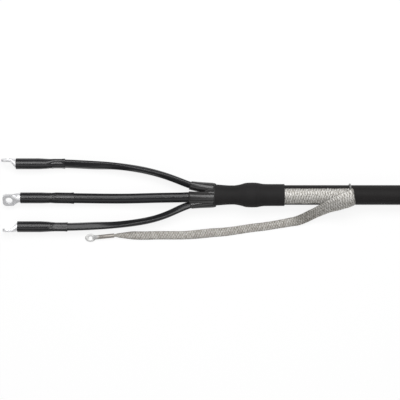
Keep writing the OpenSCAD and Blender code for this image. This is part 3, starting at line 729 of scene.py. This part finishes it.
def finger_ring(finger, along, share):
    """A ring of points round one finger, a length along its core. The share goes from root to tip."""
    bend, way, turn, root, root_r = finger
    way, turn, a = math.radians(way), math.radians(turn), along / bend
    height = bend * (1 - math.cos(a))
    core = np.array([FAN_BACK - bend * math.sin(a), height * math.cos(way), height * math.sin(way)])
    out = np.array([math.sin(a), math.cos(a) * math.cos(way), math.cos(a) * math.sin(way)])
    side = np.array([0.0, math.sin(way), -math.cos(way)])
    t = way - turn
    strand = STRAND_OFF * (math.cos(t) * out + math.sin(t) * side)
    middle = core + (1 - share) * np.array([0.0, *root]) + share * strand
    if finger is FINGERS[1]:
        middle[1] += middle_core_shift(middle[0])
    drawn = ROOT_DRAW * max(0.0, 1 - (along - ROOT_DRAW_START) / ROOT_DRAW_LENGTH)
    tip = TIP_DRAW if share > 0.99 else 0.0
    ring = []
    for k in range(FINGER_SIDES):
        angle = 2 * math.pi * k / FINGER_SIDES
        radius = (1 - share) * root_r + share * (float(sector_reach(angle - t)) + FINGER_WALL)
        radius *= 1 - drawn - tip
        ring.append(middle + radius * (math.cos(angle) * out + math.sin(angle) * side))
    return ring


def loft(name, rings):
    """A closed skin through rings of points, in mm from the crotch on the cable's axis."""
    sides = len(rings[0])
    verts = [tuple((point + CROTCH) * MM) for ring in rings for point in ring]
    faces = [
        (j * sides + k, j * sides + (k + 1) % sides, (j + 1) * sides + (k + 1) % sides, (j + 1) * sides + k)
        for j in range(len(rings) - 1) for k in range(sides)
    ]
    faces += [tuple(reversed(range(sides))), tuple((len(rings) - 1) * sides + k for k in range(sides))]
    obj = shape_of(name, verts, faces)
    face_outwards(obj)
    return obj


def round_rings(line, sides, aside, rise):
    """Rings of each way and radius of a line, moved off the cable's axis."""
    return [
        [np.array([x, r * math.cos(a) + aside, r * math.sin(a) + rise]) for a in circle(sides)]
        for x, r in line
    ]


def body_line():
    """The boot's outline at even steps, with its corners softened."""
    line = np.array(BODY_LINE)
    ways = np.linspace(0, MOUTH, BODY_RINGS)
    radii = np.pad(np.interp(ways, line[:, 0], line[:, 1]), 2, mode="edge")
    return list(zip(ways, np.convolve(radii, [0.05, 0.2, 0.5, 0.2, 0.05], mode="valid")))


def make_finger(finger):
    """A finger, with the middle of its open end and the way that end looks."""
    bend, way = finger[0], math.radians(finger[1])
    reach = math.asin((FAN_BACK + FINGER_LENGTH) / bend) * bend
    steps = np.append(np.linspace(FINGER_START, reach - 1.0, FINGER_RINGS - 1), reach)
    shares = [max(0.0, (s - MORPH_START) / (reach - MORPH_START)) ** 1.5 for s in steps]
    skin = loft("boot_finger", [finger_ring(finger, s, share) for s, share in zip(steps, shares)])
    end = (np.mean(finger_ring(finger, reach, 1.0), axis=0) + CROTCH) * MM
    a = reach / bend
    return skin, (end, np.array([-math.cos(a), math.sin(a) * math.cos(way), math.sin(a) * math.sin(way)]))


def is_open_end(polygon, ends):
    return any(
        Vector(ahead).dot(polygon.center - Vector(middle)) > -END_BEHIND * MM
        and Vector(ahead).dot(polygon.normal) > END_FACING
        and (polygon.center - Vector(middle)).length < END_REACH * MM
        for middle, ahead in ends
    )


def make_boot():
    """The moulded boot: a waisted body, a raised side over the braid and three fingers, fused."""
    line = body_line()
    boot = loft("boot_skin", round_rings(line, BODY_SIDES, 0.0, 0.0))
    roll = math.radians(RISE_ROLL)
    raised = [(x, r) for x, r in line if x >= RISE_START]
    extras = [
        loft("boot_rise", round_rings(raised, BODY_SIDES, -RISE * math.sin(roll), RISE * math.cos(roll))),
        loft("boot_web", round_rings(WEB_LINE, WEB_SIDES, WEB_ASIDE, WEB_RISE)),
    ]
    ends = []
    for finger in FINGERS:
        skin, end = make_finger(finger)
        extras.append(skin)
        ends.append(end)
    for extra in extras:
        apply_modifier(boot, "BOOLEAN", operation="UNION", solver="EXACT", object=extra)
        bpy.data.objects.remove(extra)
    # The fingers and the mouth are open, so their ends come off before the wall gets its thickness
    ends.append(((CROTCH + [MOUTH, 0.0, 0.0]) * MM, np.array([1.0, 0.0, 0.0])))
    make_active(boot)
    bpy.ops.object.mode_set(mode="EDIT")
    bpy.ops.mesh.select_mode(type="FACE")
    bpy.ops.mesh.select_all(action="DESELECT")
    bpy.ops.object.mode_set(mode="OBJECT")
    for polygon in boot.data.polygons:
        polygon.select = is_open_end(polygon, ends)
    bpy.ops.object.mode_set(mode="EDIT")
    bpy.ops.mesh.delete(type="FACE")
    bpy.ops.object.mode_set(mode="OBJECT")
    apply_modifier(boot, "SOLIDIFY", thickness=BOOT_WALL * MM, offset=-1.0, use_rim=True)
    shade_smooth(boot, 32)
    finish_piece(boot, BOOT, "breakout_boot")


def make_braid_root():
    """The braid under the boot. Its strip is turned to the top, where the free braid leaves the mouth."""
    obj = shape_from("braid_root", "braid_root_laid")
    for vertex in obj.data.vertices:
        vertex.co.y, vertex.co.z = 2 * FRAME_Y * MM - vertex.co.y, 2 * AXIS_Z * MM - vertex.co.z
    obj.data.update()
    shade_smooth(obj, 40)
    finish_piece(obj, WIRE, "braid_root")


def make_lug(which):
    """A pressed lug with softened edges."""
    obj = shape_from("lug_" + which, "lug_body_" + which)
    round_corners(obj, 0.5, 3)
    shade_smooth(obj, 40)
    finish_piece(obj, TIN, "lug_" + which)


# The small lug, in mm: its hole's place from the crotch, the rim of the hole, which stays as it is, and where
# its barrel starts, from the hole
EARTH_HOLE = (-229.6, -79.8)
EARTH_HOLE_RIM = 3.9
NECK_END = 13.0
# Its palm is longer than the solid's by these factors, past the hole and before it, and points this way,
# in degrees
PALM_PAST, PALM_BEFORE = 1.42, 1.4
EARTH_HEADING = 5.8


def make_earth_lug():
    """The ring lug on the braid: its palm is longer than it is wide."""
    obj = shape_from("earth_lug", "earth_lug_body")
    hole = (FRAME_X + EARTH_HOLE[0], FRAME_Y + EARTH_HOLE[1])
    for vertex in obj.data.vertices:
        x, y = vertex.co.x / MM - hole[0], vertex.co.y / MM - hole[1]
        if x < NECK_END and math.hypot(x, y) > EARTH_HOLE_RIM:
            vertex.co.x = (hole[0] + x * (PALM_PAST if x < 0 else PALM_BEFORE)) * MM
            vertex.co.y += max(0.0, (PALM_BEFORE - 1) * x) * math.tan(math.radians(EARTH_HEADING)) * MM
    round_corners(obj, 0.3, 2)
    shade_smooth(obj, 40)
    finish_piece(obj, EARTH_TIN, "earth_lug")


for which in ("upper", "middle", "lower"):
    make_insulation(which)
    make_core_tube(which)
    make_sleeve(which)
    make_lug(which)
make_middle_conductor()
make_earth_lug()
make_boot()
make_braid_root()
make_braid()


PLAIN = {
    "sheath": SHEATH, "armour": STEEL, "bedding": BEDDING, "conductor": STRANDS, "insulation": INSULATION,
    "core_tube": TUBE, "sleeve": SLEEVE, "boot": BOOT, "mastic": MASTIC, "wrap": WRAP, "lug": TIN,
    "braid": BRAID,
}
for part in frame["record"]["subparts"]:
    node = frame["nodes"][part["node"]]
    for slot in node.material_slots:
        slot.material = WIRE if part["node"] == "binding_wire" else PLAIN[part["material_slot"]]


# Bench and light


# A wide white bench, in m. It lies a little under the part, and gives its own light to the camera's view, so
# that it is as white there as in the photograph.
BENCH_SIZE = 6.0
BENCH_DROP = 0.0004
BENCH_GLOW = 0.85


def make_floor():
    nothing_selected()
    bpy.ops.mesh.primitive_plane_add(size=BENCH_SIZE, location=(0, 0, -BENCH_DROP))
    floor = bpy.context.object
    floor.name = "bench"
    material = bpy.data.materials.new("bench_white")
    material.use_nodes = True
    n, link = material.node_tree.nodes, material.node_tree.links.new
    shader = n["Principled BSDF"]
    shader.inputs["Base Color"].default_value = (0.9, 0.9, 0.9, 1)
    shader.inputs["Roughness"].default_value = 0.9
    shine = n.new("ShaderNodeEmission")
    shine.inputs["Strength"].default_value = 1.0
    rays, mix = n.new("ShaderNodeLightPath"), n.new("ShaderNodeMixShader")
    either, share = n.new("ShaderNodeMath"), n.new("ShaderNodeMath")
    either.operation = "MAXIMUM"
    share.operation = "MULTIPLY"
    share.inputs[1].default_value = BENCH_GLOW
    link(rays.outputs["Is Camera Ray"], either.inputs[0])
    link(rays.outputs["Is Glossy Ray"], either.inputs[1])
    link(either.outputs[0], share.inputs[0])
    link(share.outputs[0], mix.inputs["Fac"])
    link(shader.outputs[0], mix.inputs[1])
    link(shine.outputs[0], mix.inputs[2])
    link(mix.outputs[0], n["Material Output"].inputs["Surface"])
    floor.data.materials.append(material)


def add_light(name, place, aim, size, power):
    data = bpy.data.lights.new(name, "AREA")
    data.shape = "RECTANGLE"
    data.size, data.size_y = size
    data.energy = power
    lamp = bpy.data.objects.new(name, data)
    lamp.location = place
    lamp.rotation_euler = (Vector(aim) - Vector(place)).to_track_quat("-Z", "Y").to_euler()
    bpy.context.collection.objects.link(lamp)


make_floor()
add_light("key_light", (0.0, 0.9, 1.6), (0, 0, 0), (2.0, 0.8), 28)
add_light("fill_light", (0.0, -1.2, 1.5), (0, 0, 0), (1.6, 1.0), 5)
add_light("overhead_light", (0.0, 0.3, 3.2), (0, 0, 0), (2.4, 0.3), 28)
world = bpy.data.worlds.new("studio")
bpy.context.scene.world = world
world.use_nodes = True
sky = world.node_tree.nodes["Background"]
sky.inputs["Color"].default_value = (1, 1, 1, 1)
sky.inputs["Strength"].default_value = 0.25
bpy.context.scene.view_settings.view_transform = "Standard"
